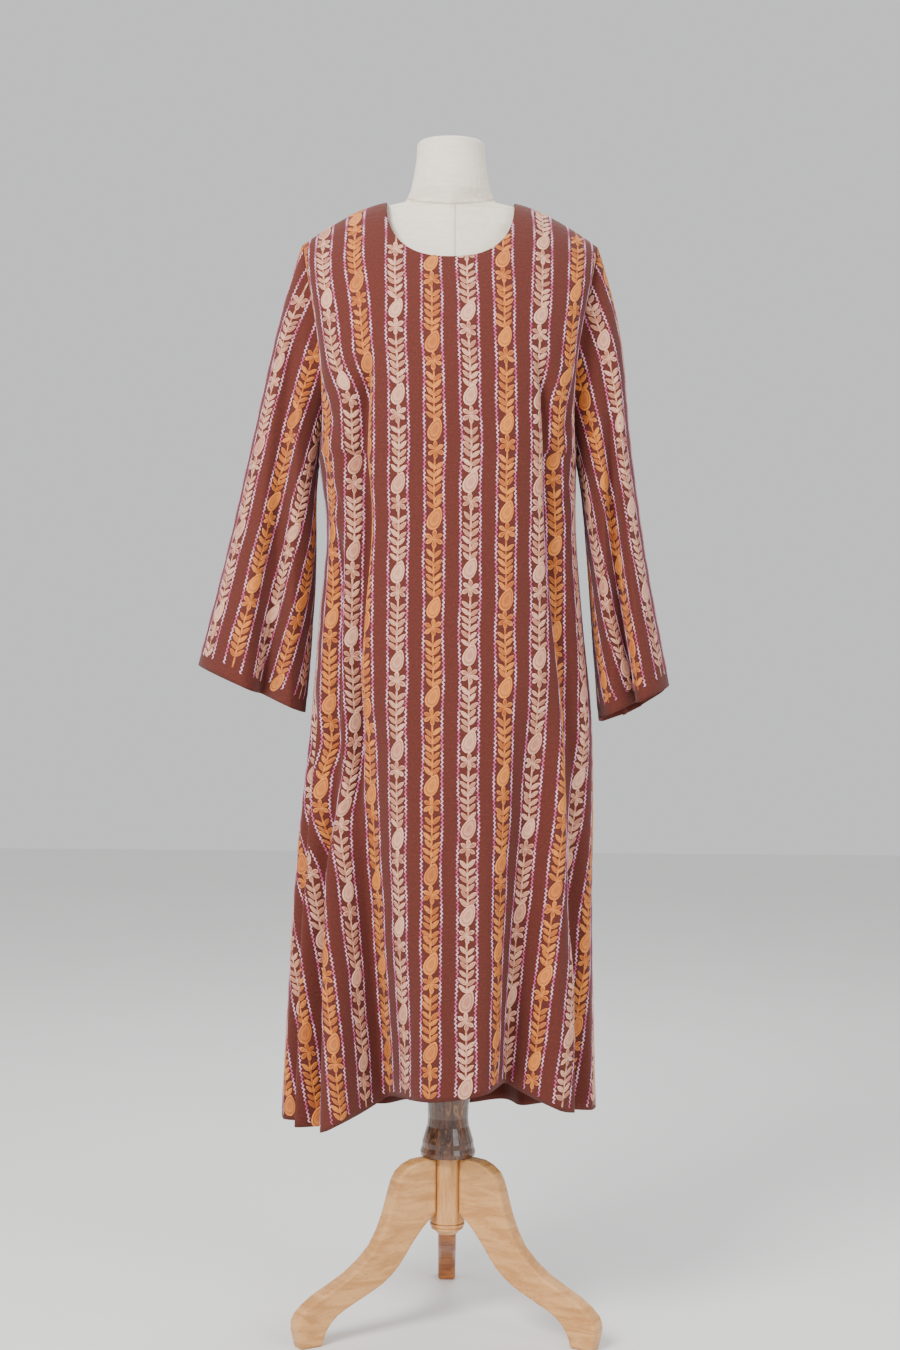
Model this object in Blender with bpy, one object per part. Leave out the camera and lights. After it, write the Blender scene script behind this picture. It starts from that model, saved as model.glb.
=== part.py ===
"""Embroidered abaya on a limbless dress form with a turned wooden tripod.

Metres, +Z up, the front faces -Y and the viewer's left is -X. The floor is Z = 0.
"""
import math

import bmesh
import bpy
import numpy as np

# Cloth and seams
CLOTH = 0.002
SEAM = 0.0003
# The stand's axis, placed so that the origin is under the middle of the whole
AXIS_X = 0.0255
AXIS_Y = -0.0405

# Garment heights and half-widths, about its own centre line beside the stand's axis
CENTRE_X = -0.007
NECK_POINT_Z = 1.580
NECK_HALF = 0.089
NECK_ROUND = 0.8
SHOULDER_HALF = 0.207
SHOULDER_DROP = 0.060
SHOULDER_BEND = 1.4
UNDERARM_Z = 1.217
SHOULDER_ROUND = 1.8
ARMHOLE_SCOOP = 0.014
ARMHOLE_DEPTH = 0.046
SECTION_ROUND = 0.833

# Share of a panel's columns' span that ends at the neck, and the grid of the walls
NECK_SPAN = 0.36
NECK_COLUMNS = 14
SIDE_COLUMNS = 11
ARMHOLE_ROWS = 13
SKIRT_ROWS = 11
# Rows lie closer together on the shoulders
ROW_CROWDING = 1.6

# How deep each panel's neckline dips, how far out its lowest point and its top stand
PANELS = {
    "front": {"way": -1, "neck_dip": 0.0915, "bust": 0.012, "middle_round": 1.8},
    "back": {"way": 1, "neck_dip": 0.016, "bust": 0.012, "middle_round": 3.0},
}

# Rings of the body's cloth without its folds, from the underarm to the hem
RING_COLUMNS = ("z", "left", "right", "front", "back")
RINGS = (
    (1.217, -0.189, 0.172, 0.142, 0.112),
    (1.130, -0.177, 0.172, 0.142, 0.112),
    (1.000, -0.186, 0.182, 0.143, 0.118),
    (0.850, -0.197, 0.197, 0.147, 0.125),
    (0.720, -0.210, 0.200, 0.151, 0.130),
    (0.580, -0.221, 0.200, 0.155, 0.135),
    (0.450, -0.227, 0.203, 0.159, 0.140),
    (0.290, -0.235, 0.209, 0.163, 0.146),
)

# Height of the hem by the angle round the section, 0 at the middle and 90 at the right side
HEM_COLUMNS = ("angle", "front", "back")
HEM = (
    (-90, 0.300, 0.300),
    (-60, 0.294, 0.291),
    (-43, 0.296, 0.286),
    (-24, 0.331, 0.288),
    (0, 0.345, 0.286),
    (24, 0.357, 0.289),
    (45, 0.326, 0.292),
    (62, 0.319, 0.301),
    (90, 0.311, 0.311),
)

# Folds: the angle of each trough's line where it starts and at its foot, its heights there,
# its depth at both, and how wide it is to the left and to the right of the line, in degrees
FOLD_START = 0.10
FOLD_END = 0.14
FOLD_COLUMNS = ("angle_top", "angle_foot", "z_top", "z_foot", "depth_top", "depth_foot", "left", "right")
FOLDS = {
    "front": (
        (-40, -45, 1.38, 0.78, 0.026, 0.030, 14, 10),
        (46, 58, 1.38, 0.62, 0.020, 0.014, 10, 14),
        (-42, -25.5, 0.94, 0.30, 0.008, 0.098, 13, 28),
        (34, 27, 0.92, 0.30, 0.006, 0.080, 22, 15),
        (-62, -53, 1.14, 0.26, 0.014, 0.046, 9, 10),
        (-76, -69, 0.90, 0.26, 0.010, 0.034, 8, 8),
        (66, 62, 0.86, 0.26, 0.008, 0.026, 10, 10),
        (2, 4, 0.80, 0.26, 0.001, 0.014, 10, 10),
    ),
    "back": (
        (-44, -50, 1.30, 0.26, 0.008, 0.030, 13, 14),
        (-20, -22, 0.92, 0.26, 0.003, 0.040, 15, 14),
        (6, 4, 1.16, 0.26, 0.004, 0.028, 12, 14),
        (30, 32, 0.86, 0.26, 0.003, 0.044, 14, 15),
        (52, 60, 1.28, 0.26, 0.009, 0.024, 12, 13),
    ),
}

# Sleeves: share of the length, outer and inner edge in front view, half-depths to the front and back
SLEEVE_COLUMNS = ("share", "outer_x", "outer_z", "inner_x", "inner_z", "front", "back")
SLEEVES = {
    "left": (
        (0.20, -0.2460, 1.400, -0.1905, 1.150, 0.058, 0.052),
        (0.45, -0.2790, 1.255, -0.1920, 1.060, 0.064, 0.058),
        (0.72, -0.3150, 1.095, -0.1975, 0.965, 0.070, 0.064),
        (1.00, -0.3570, 0.928, -0.2060, 0.862, 0.074, 0.068),
    ),
    "right": (
        (0.20, 0.2300, 1.395, 0.1805, 1.150, 0.060, 0.056),
        (0.45, 0.2470, 1.245, 0.1905, 1.060, 0.070, 0.064),
        (0.72, 0.2720, 1.078, 0.1995, 0.955, 0.078, 0.072),
        (1.00, 0.3060, 0.905, 0.2080, 0.858, 0.084, 0.080),
    ),
}
# Grooves down a sleeve: angle from the outer edge by way of the front at the top and at the cuff,
# depth at both, half-width in degrees
GROOVE_COLUMNS = ("angle_top", "angle_cuff", "depth_top", "depth_cuff", "half_width")
GROOVES = {
    "left": (
        (66, 112, 0.004, 0.046, 27),
        (232, 248, 0.003, 0.030, 28),
        (300, 305, 0.002, 0.022, 24),
    ),
    "right": (
        (70, 109, 0.005, 0.050, 27),
        (228, 240, 0.003, 0.032, 28),
        (296, 308, 0.002, 0.022, 24),
    ),
}
CUFF_BACK_DROP = {"left": 0.004, "right": 0.018}
SLEEVE_ROWS = 13
# Share of a sleeve's length over which it leaves the armhole's shape, and how far it stands off there
SLEEVE_START = 0.16
SLEEVE_STAND_OFF = 0.004

# Dress form: rings from its base to the neck's top; a half-width of 0 follows the shoulder seams
FORM_COLUMNS = ("z", "half", "front", "back", "round")
FORM = (
    (0.800, 0.130, 0.078, 0.084, 1.00),
    (0.806, 0.139, 0.086, 0.092, 0.96),
    (0.870, 0.148, 0.096, 0.094, 0.94),
    (0.960, 0.145, 0.099, 0.090, 0.96),
    (1.060, 0.132, 0.096, 0.080, 0.96),
    (1.150, 0.138, 0.108, 0.088, 0.94),
    (1.230, 0.152, 0.126, 0.096, 0.90),
    (1.300, 0.160, 0.128, 0.098, 0.90),
    (1.380, 0.164, 0.110, 0.086, 0.90),
    (1.450, 0.170, 0.088, 0.072, 1.05),
    (1.500, 0.178, 0.070, 0.056, 1.25),
    (1.530, 0, 0.060, 0.047, 1.60),
    (1.545, 0, 0.055, 0.042, 1.55),
    (1.558, 0, 0.048, 0.038, 1.75),
    (1.570, 0, 0.044, 0.036, 2.00),
    (1.581, 0.064, 0.046, 0.040, 1.45),
    (1.595, 0.057, 0.049, 0.043, 1.10),
    (1.615, 0.0525, 0.0495, 0.0450, 1.00),
    (1.640, 0.0485, 0.0475, 0.0455, 1.00),
    (1.661, 0.0475, 0.0470, 0.0460, 1.00),
    (1.665, 0.0440, 0.0435, 0.0425, 1.00),
)
# Gap between the cloth's shoulders and the form that carries them
SHOULDER_SEAT = 0.0007
FORM_SIDES = 36

# Stand
POLE_RADIUS = 0.0150
COLLAR_TOP_Z = 0.420
COLLAR_PROFILE = (
    (0.0385, 0.2385),
    (0.0392, 0.2440),
    (0.0368, 0.2510),
    (0.0362, 0.2580),
    (0.0330, 0.2690),
    (0.0296, 0.2800),
    (0.0285, 0.2920),
    (0.0292, 0.3080),
    (0.0322, 0.3270),
    (0.0334, 0.3480),
    (0.0318, 0.3680),
    (0.0262, 0.3900),
    (0.0215, 0.4200),
)
HUB_RADIUS = 0.0245
HUB_FOOT_Z = 0.1425
HUB_TOP_Z = 0.2382
HUB_BEVEL = 0.0015
RING_PROFILE = (
    (0.0245, 0.1422),
    (0.0245, 0.1390),
    (0.0222, 0.1375),
    (0.0228, 0.1345),
    (0.0180, 0.1315),
    (0.0140, 0.1270),
)
TURNED_SIDES = 28

# Legs: radius from the axis and height of the upper and lower edge, root to toe
LEG_UPPER = (
    (0.0248, 0.2370),
    (0.0560, 0.2360),
    (0.0800, 0.2220),
    (0.0905, 0.1990),
    (0.1010, 0.1640),
    (0.1210, 0.1230),
    (0.1600, 0.0900),
    (0.2080, 0.0660),
    (0.2360, 0.0440),
    (0.2400, 0.0240),
    (0.2340, 0.0000),
)
LEG_LOWER = (
    (0.0248, 0.1600),
    (0.0450, 0.1420),
    (0.0640, 0.1190),
    (0.0840, 0.0920),
    (0.1100, 0.0710),
    (0.1480, 0.0530),
    (0.1780, 0.0380),
    (0.1950, 0.0190),
    (0.2010, 0.0000),
)
LEG_THICKNESS = 0.026
LEG_BEVEL = 0.004
LEG_ANGLES = {"leg_left": 210, "leg_right": 330, "leg_back": 90}

# Colour, roughness and metallic value of each material
FINISHES = {
    "cotton_brown": ((0.255, 0.052, 0.031, 1.0), 0.86, 0.0),
    "linen_cream": ((0.76, 0.71, 0.64, 1.0), 0.90, 0.0),
    "wood_light": ((0.66, 0.42, 0.20, 1.0), 0.48, 0.0),
    "wrap_gloss": ((0.17, 0.075, 0.028, 1.0), 0.16, 0.0),
    "post_steel": ((0.55, 0.55, 0.56, 1.0), 0.35, 1.0),
}


def clear_scene():
    for thing in list(bpy.data.objects):
        bpy.data.objects.remove(thing, do_unlink=True)


def finish(name):
    """The Principled material of that name."""
    made = bpy.data.materials.get(name)
    if made is None:
        colour, rough, metal = FINISHES[name]
        made = bpy.data.materials.new(name)
        made.use_nodes = True
        shader = made.node_tree.nodes["Principled BSDF"]
        shader.inputs["Base Color"].default_value = colour
        shader.inputs["Roughness"].default_value = rough
        shader.inputs["Metallic"].default_value = metal
        made.diffuse_color = colour
    return made


def place(name, mesh, material, sharp_degrees=40):
    """Puts a mesh on the stand's axis as a named object."""
    mesh.materials.append(finish(material))
    mesh.shade_smooth()
    mesh.set_sharp_from_angle(angle=math.radians(sharp_degrees))
    made = bpy.data.objects.new(name, mesh)
    made.location = (AXIS_X, AXIS_Y, 0)
    bpy.context.scene.collection.objects.link(made)
    return made


def smooth_read(where, table, columns, names):
    """Columns of a table at some places along its first column, on a smooth curve."""
    values = np.array(table, float)
    order = np.argsort(values[:, 0])
    values = values[order]
    stops = values[:, 0]
    where = np.clip(where, stops[0], stops[-1])
    k = np.clip(np.searchsorted(stops, where, side="right") - 1, 0, len(stops) - 2)
    span = stops[k + 1] - stops[k]
    t = (where - stops[k]) / span
    read = []
    for name in names:
        level = values[:, columns.index(name)]
        slope = np.gradient(level, stops)
        read.append(
            level[k] * (1 + 2 * t) * (1 - t) ** 2
            + level[k + 1] * t**2 * (3 - 2 * t)
            + span * (slope[k] * t * (1 - t) ** 2 - slope[k + 1] * t**2 * (1 - t))
        )
    return read


def soft_step(t):
    t = np.clip(t, 0, 1)
    return t * t * (3 - 2 * t)


def power(value, share):
    """A signed power."""
    return np.sign(value) * np.abs(value) ** share


def fold_depth(panel, angle, z):
    """How far the folds draw the cloth in at an angle round the section and a height."""
    depth = np.zeros(np.broadcast(angle, z).shape)
    for row in FOLDS[panel]:
        fold = dict(zip(FOLD_COLUMNS, row))
        down = np.clip((fold["z_top"] - z) / (fold["z_top"] - fold["z_foot"]), 0, 1)
        line = fold["angle_top"] + (fold["angle_foot"] - fold["angle_top"]) * down
        off = angle - line
        width = np.where(off < 0, fold["left"], fold["right"])
        bump = 0.5 + 0.5 * np.cos(np.pi * np.clip(off / width, -1, 1))
        ends = soft_step((fold["z_top"] - z) / FOLD_START) * soft_step(1 + (z - fold["z_foot"]) / FOLD_END)
        depth += bump * ends * (fold["depth_top"] + (fold["depth_foot"] - fold["depth_top"]) * down)
    return depth


def body_section(panel, angle, z):
    """Points of the body's cloth below the underarm, at angles round the section and heights."""
    left, right, front, back = smooth_read(z, RINGS, RING_COLUMNS, RING_COLUMNS[1:])
    way = PANELS[panel]["way"]
    deep = front if way < 0 else back
    wide = np.where(angle < 0, -left, right)
    sine = np.sin(np.radians(angle))
    cosine = np.cos(np.radians(angle)).clip(0, 1)
    out_x = power(sine, 2 - SECTION_ROUND) / wide
    out_y = cosine ** (2 - SECTION_ROUND) / deep
    size = np.hypot(out_x, out_y)
    inward = fold_depth(panel, angle, z)
    x = power(sine, SECTION_ROUND) * wide - inward * out_x / size
    y = way * (cosine**SECTION_ROUND * deep - inward * out_y / size)
    return x, y


def column_spans():
    """Places of a panel's columns from -1 at the left side to 1 at the right, one at each neck point."""
    side = np.linspace(NECK_SPAN, 1, SIDE_COLUMNS + 1)
    neck = np.linspace(-NECK_SPAN, NECK_SPAN, NECK_COLUMNS + 1)
    return np.concatenate([-side[::-1], neck[1:-1], side])


def panel_top(panel, span):
    """The neckline and the shoulder seams."""
    sizes = PANELS[panel]
    turn = np.clip(span / NECK_SPAN, -1, 1) * math.pi / 2
    out = np.clip((np.abs(span) - NECK_SPAN) / (1 - NECK_SPAN), 0, 1)
    low = np.cos(turn).clip(0, 1) ** NECK_ROUND
    half = NECK_HALF * np.abs(np.sin(turn)) ** NECK_ROUND + (SHOULDER_HALF - NECK_HALF) * out
    x = CENTRE_X + np.sign(span) * half
    z = NECK_POINT_Z - sizes["neck_dip"] * low - SHOULDER_DROP * out**SHOULDER_BEND
    return x, z


def chest_depth(panel, x, z, down):
    """How far out the cloth stands above the underarm, on one smooth form that the neck is cut from."""
    sizes = PANELS[panel]
    front, back = smooth_read(UNDERARM_Z, RINGS, RING_COLUMNS, ("front", "back"))
    middle = x[len(x) // 2]
    edge = np.where(x < middle, middle - x[0], x[-1] - middle)
    side = np.clip(np.abs(x - middle) / edge, 0, 1)
    out = np.clip((np.abs(x - CENTRE_X) - NECK_HALF) / (SHOULDER_HALF - NECK_HALF), 0, 1)
    shoulder_z = NECK_POINT_Z - SHOULDER_DROP * out**SHOULDER_BEND
    below = np.clip((shoulder_z - z) / (shoulder_z - UNDERARM_Z), 0, 1)
    near_middle = np.clip(1 - (np.abs(x - CENTRE_X) / NECK_HALF / 1.3) ** 2, 0, 1)
    rounding = SHOULDER_ROUND + (sizes["middle_round"] - SHOULDER_ROUND) * near_middle
    over = (1 - (1 - below) ** rounding) ** (1 / rounding)
    deep = front if sizes["way"] < 0 else back
    swell = np.sin(np.pi * below)
    depth = deep * (1 - side ** (2 / SECTION_ROUND)) ** (SECTION_ROUND / 2) * over
    return depth + sizes["bust"] * swell * (1 - side**2) + ARMHOLE_DEPTH * math.sin(math.pi * down) ** 0.7 * side**4


def panel_grid(panel, spans, armhole_rows, skirt_rows):
    """Outer points of a panel: rows from the neck and shoulders to the hem, columns left to right."""
    sizes = PANELS[panel]
    angle = spans * 90
    top_x, top_z = panel_top(panel, spans)
    ring_x, _ = body_section(panel, angle, np.full_like(angle, UNDERARM_Z))
    rows = []
    for row in range(armhole_rows):
        down = (row / armhole_rows) ** ROW_CROWDING
        z = top_z + (UNDERARM_Z - top_z) * down
        x = top_x + (ring_x - top_x) * soft_step(down)
        x = x - np.sign(spans) * ARMHOLE_SCOOP * math.sin(math.pi * down) * spans**2
        y = sizes["way"] * (chest_depth(panel, x, z, down) - fold_depth(panel, angle, z) * (1 - spans**6))
        rows.append(np.stack([x, y, z], axis=-1))
    (hem,) = smooth_read(angle, HEM, HEM_COLUMNS, (panel,))
    for row in range(skirt_rows + 1):
        z = UNDERARM_Z + (hem - UNDERARM_Z) * row / skirt_rows
        x, y = body_section(panel, angle, z)
        rows.append(np.stack([x, y, z], axis=-1))
    grid = np.array(rows)
    grid[..., 1] += sizes["way"] * SEAM / 2
    return grid


def grid_normals(grid, outside, closed):
    """Unit normals of a grid of points, pointing to the side that outside gives."""
    if closed:
        along = np.roll(grid, -1, axis=1) - np.roll(grid, 1, axis=1)
    else:
        along = np.gradient(grid, axis=1)
    normal = np.cross(along, np.gradient(grid, axis=0)) * outside
    return normal / np.linalg.norm(normal, axis=-1, keepdims=True)


def wall_mesh(name, grid, normals, closed):
    """A closed wall of cloth: the grid outside, the same grid one cloth deeper inside, and the rims."""
    rows, columns = grid.shape[:2]
    points = np.concatenate([grid.reshape(-1, 3), (grid - CLOTH * normals).reshape(-1, 3)])
    inner = rows * columns
    faces = []
    for i in range(rows - 1):
        for j in range(columns if closed else columns - 1):
            k = (j + 1) % columns
            a, b, c, d = i * columns + j, i * columns + k, (i + 1) * columns + k, (i + 1) * columns + j
            faces.append((a, d, c, b))
            faces.append((a + inner, b + inner, c + inner, d + inner))
    for j in range(columns if closed else columns - 1):
        k = (j + 1) % columns
        last = (rows - 1) * columns
        faces.append((j, k, k + inner, j + inner))
        faces.append((last + j, last + j + inner, last + k + inner, last + k))
    if not closed:
        for i in range(rows - 1):
            for j, turned in ((0, False), (columns - 1, True)):
                a, b = i * columns + j, (i + 1) * columns + j
                rim = (a, a + inner, b + inner, b)
                faces.append(rim[::-1] if turned else rim)
    mesh = bpy.data.meshes.new(name)
    mesh.from_pydata([tuple(p) for p in points], [], faces)
    work = bmesh.new()
    work.from_mesh(mesh)
    bmesh.ops.recalc_face_normals(work, faces=work.faces)
    work.to_mesh(mesh)
    work.free()
    return mesh


def panel_normals(grid, panel):
    """A panel's normals, kept in the seam's plane along the shoulders and the side seams."""
    normals = grid_normals(grid, PANELS[panel]["way"], closed=False)
    shoulder = np.abs(column_spans()) >= NECK_SPAN
    normals[0, shoulder, 1] = 0
    normals[ARMHOLE_ROWS:, (0, -1), 1] = 0
    return normals / np.linalg.norm(normals, axis=-1, keepdims=True)


def armhole_ring(grids, side):
    """The armhole's points: shoulder tip, down the front panel, underarm, up the back panel."""
    column = 0 if side == "left" else -1
    down = grids["front"][: ARMHOLE_ROWS + 1, column]
    up = grids["back"][1:ARMHOLE_ROWS, column][::-1]
    ring = np.concatenate([down, up])
    ring[:, 0] += SEAM * (-1 if side == "left" else 1)
    return ring


def sleeve_grid(side, ring, rows):
    """Outer points of a sleeve: rings from the armhole to the cuff."""
    count = len(ring)
    angle = np.arange(count) * 360 / count
    sine = power(np.sin(np.radians(angle)), 0.9)
    cosine = power(np.cos(np.radians(angle)), 0.9)
    tip, pit = ring[0], ring[count // 2]
    start = (0.0, tip[0], tip[2], pit[0], pit[2], ARMHOLE_DEPTH, ARMHOLE_DEPTH)
    table = (start,) + SLEEVES[side]
    grid = []
    for share in np.linspace(0, 1, rows + 1):
        sizes = smooth_read(np.array([share]), table, SLEEVE_COLUMNS, SLEEVE_COLUMNS[1:])
        outer_x, outer_z, inner_x, inner_z, front, back = [v[0] for v in sizes]
        half = np.array([outer_x - inner_x, 0, outer_z - inner_z]) / 2
        deep = np.where(sine > 0, front, back)
        inward = np.zeros(count)
        for row in GROOVES[side]:
            groove = dict(zip(GROOVE_COLUMNS, row))
            line = groove["angle_top"] + (groove["angle_cuff"] - groove["angle_top"]) * share
            off = (angle - line + 180) % 360 - 180
            bump = 0.5 + 0.5 * np.cos(np.pi * np.clip(off / groove["half_width"], -1, 1))
            inward += bump * soft_step(share / SLEEVE_START) * (
                groove["depth_top"] + (groove["depth_cuff"] - groove["depth_top"]) * share
            )
        out_x = cosine / np.linalg.norm(half)
        out_y = sine / deep
        size = np.hypot(out_x, out_y)
        wide = cosine - inward * out_x / size / np.linalg.norm(half)
        points = np.array([(outer_x + inner_x) / 2, 0, (outer_z + inner_z) / 2]) + wide[:, None] * half
        points[:, 0] += SLEEVE_STAND_OFF * (-1 if side == "left" else 1) * (1 - share) ** 2
        points[:, 1] -= sine * deep - inward * out_y / size
        points[:, 2] -= CUFF_BACK_DROP[side] * share**3 * (-sine).clip(0, 1)
        grid.append(ring + (points - ring) * soft_step(share / SLEEVE_START))
    return np.array(grid)


def ring_mesh(name, rings):
    """A closed body through rings of points, flat at both ends."""
    work = bmesh.new()
    loops = [[work.verts.new(point) for point in ring] for ring in rings]
    count = len(loops[0])
    for low, high in zip(loops, loops[1:]):
        for j in range(count):
            k = (j + 1) % count
            work.faces.new((low[j], low[k], high[k], high[j]))
    work.faces.new(loops[0][::-1])
    work.faces.new(loops[-1])
    bmesh.ops.recalc_face_normals(work, faces=work.faces)
    mesh = bpy.data.meshes.new(name)
    work.to_mesh(mesh)
    work.free()
    return mesh


def shoulder_half(z):
    """Half-width of the dress form at a height where the cloth's shoulders lie on it."""
    drop = (NECK_POINT_Z - CLOTH - SHOULDER_SEAT - z) / SHOULDER_DROP
    return NECK_HALF + (SHOULDER_HALF - NECK_HALF) * drop ** (1 / SHOULDER_BEND)


def form_rings():
    """Rings of the dress form from its base to the top of its neck."""
    turn = np.arange(FORM_SIDES) * 2 * math.pi / FORM_SIDES
    rings = []
    for row in FORM:
        size = dict(zip(FORM_COLUMNS, row))
        deep = np.where(np.sin(turn) < 0, size["front"], size["back"])
        half = size["half"] or shoulder_half(size["z"])
        x = CENTRE_X + half * power(np.cos(turn), size["round"])
        y = deep * power(np.sin(turn), size["round"])
        rings.append([(px, py, size["z"]) for px, py in zip(x, y)])
    return rings


def turned_rings(profile):
    """Rings of a turned piece from its radii and heights, lowest first."""
    turn = [k * 2 * math.pi / TURNED_SIDES for k in range(TURNED_SIDES)]
    rising = sorted(profile, key=lambda point: point[1])
    return [[(r * math.cos(t), r * math.sin(t), z) for t in turn] for r, z in rising]


def smooth_edge(points, steps):
    """A smooth curve through an edge's points, steps to each stretch."""
    p = np.array(points)
    p = np.vstack([2 * p[0] - p[1], p, 2 * p[-1] - p[-2]])
    curve = []
    for a, b, c, d in zip(p, p[1:], p[2:], p[3:]):
        for t in np.arange(steps) / steps:
            curve.append(
                0.5 * (2 * b + (c - a) * t + (2 * a - 5 * b + 4 * c - d) * t**2 + (3 * b - a - 3 * c + d) * t**3)
            )
    return curve + [p[-2]]


def leg_mesh():
    """A bent board leg that runs out along +X, cut square at its root and flat under its toe."""
    upper = smooth_edge(LEG_UPPER, 2)
    lower = smooth_edge(LEG_LOWER, 2)
    outline = [tuple(p) for p in upper] + [tuple(p) for p in lower[::-1]]
    work = bmesh.new()
    verts = [work.verts.new((r, -LEG_THICKNESS / 2, max(z, 0))) for r, z in outline]
    face = work.faces.new(verts)
    moved = bmesh.ops.extrude_face_region(work, geom=[face])["geom"]
    bmesh.ops.translate(work, vec=(0, LEG_THICKNESS, 0), verts=[v for v in moved if isinstance(v, bmesh.types.BMVert)])
    bmesh.ops.recalc_face_normals(work, faces=work.faces)
    mesh = bpy.data.meshes.new("leg")
    work.to_mesh(mesh)
    work.free()
    return mesh


def round_leg(leg):
    """Rounds a leg's long edges, not the ones across the board."""
    bevel = leg.modifiers.new("rounded_edges", "BEVEL")
    bevel.width = LEG_BEVEL
    bevel.segments = 2
    bevel.limit_method = "ANGLE"
    bevel.angle_limit = math.radians(75)


def build():
    clear_scene()
    spans = column_spans()
    grids = {name: panel_grid(name, spans, ARMHOLE_ROWS, SKIRT_ROWS) for name in PANELS}
    for name, grid in grids.items():
        place(name, wall_mesh(name, grid, panel_normals(grid, name), closed=False), "cotton_brown")
    for side, outside in (("left", -1), ("right", 1)):
        grid = sleeve_grid(side, armhole_ring(grids, side), SLEEVE_ROWS)
        normals = grid_normals(grid, outside, closed=True)
        normals[0, :, 0] = 0
        normals[0] /= np.linalg.norm(normals[0], axis=-1, keepdims=True)
        place("sleeve_" + side, wall_mesh("sleeve_" + side, grid, normals, closed=True), "cotton_brown")
    place("form_torso", ring_mesh("form_torso", form_rings()), "linen_cream")
    form_foot_z = FORM[0][0]
    pole = ((POLE_RADIUS, COLLAR_TOP_Z + SEAM), (POLE_RADIUS, form_foot_z - SEAM))
    place("pole", ring_mesh("pole", turned_rings(pole)), "post_steel")
    place("collar", ring_mesh("collar", turned_rings(COLLAR_PROFILE)), "wrap_gloss")
    hub = (
        (HUB_RADIUS - HUB_BEVEL, HUB_FOOT_Z),
        (HUB_RADIUS, HUB_FOOT_Z + HUB_BEVEL),
        (HUB_RADIUS, HUB_TOP_Z - HUB_BEVEL),
        (HUB_RADIUS - HUB_BEVEL, HUB_TOP_Z),
    )
    place("hub", ring_mesh("hub", turned_rings(hub)), "wood_light")
    place("hub_ring", ring_mesh("hub_ring", turned_rings(RING_PROFILE)), "wood_light")
    mesh = leg_mesh()
    mesh.materials.append(finish("wood_light"))
    for name, degrees in LEG_ANGLES.items():
        leg = bpy.data.objects.new(name, mesh)
        leg.location = (AXIS_X, AXIS_Y, 0)
        leg.rotation_euler = (0, 0, math.radians(degrees))
        bpy.context.scene.collection.objects.link(leg)
        round_leg(leg)


build()
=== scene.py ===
import math

import bpy
import numpy as np
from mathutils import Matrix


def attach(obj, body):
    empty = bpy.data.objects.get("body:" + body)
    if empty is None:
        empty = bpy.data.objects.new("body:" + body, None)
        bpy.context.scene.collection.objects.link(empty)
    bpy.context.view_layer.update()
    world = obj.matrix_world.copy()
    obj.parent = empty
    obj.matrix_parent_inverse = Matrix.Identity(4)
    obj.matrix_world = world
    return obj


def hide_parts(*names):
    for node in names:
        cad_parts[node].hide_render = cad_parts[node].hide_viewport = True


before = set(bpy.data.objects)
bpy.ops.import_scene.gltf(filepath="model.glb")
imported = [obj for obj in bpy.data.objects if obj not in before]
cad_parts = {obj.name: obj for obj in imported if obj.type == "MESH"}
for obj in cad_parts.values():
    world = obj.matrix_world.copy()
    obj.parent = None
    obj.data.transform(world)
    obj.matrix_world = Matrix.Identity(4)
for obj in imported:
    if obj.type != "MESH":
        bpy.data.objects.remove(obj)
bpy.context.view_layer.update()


# Turned and sawn wood of the stand: three bent board legs, the round hub they are dowelled to
# and the stepped ring below it, all of pale varnished pine. The back leg is painted a darker amber: painted
# shade with a painted orange reflection.
class Value:
    """A number that changes over a surface; sums and products of values add Math nodes."""

    def __init__(self, look, socket):
        self.look = look
        self.socket = socket

    def maths(self, operation, a, b=0.0):
        return self.look.maths(operation, a, b)

    def __add__(self, other):
        return self.maths("ADD", self, other)

    def __radd__(self, other):
        return self.maths("ADD", other, self)

    def __sub__(self, other):
        return self.maths("SUBTRACT", self, other)

    def __rsub__(self, other):
        return self.maths("SUBTRACT", other, self)

    def __mul__(self, other):
        return self.maths("MULTIPLY", self, other)

    def __rmul__(self, other):
        return self.maths("MULTIPLY", other, self)


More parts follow.
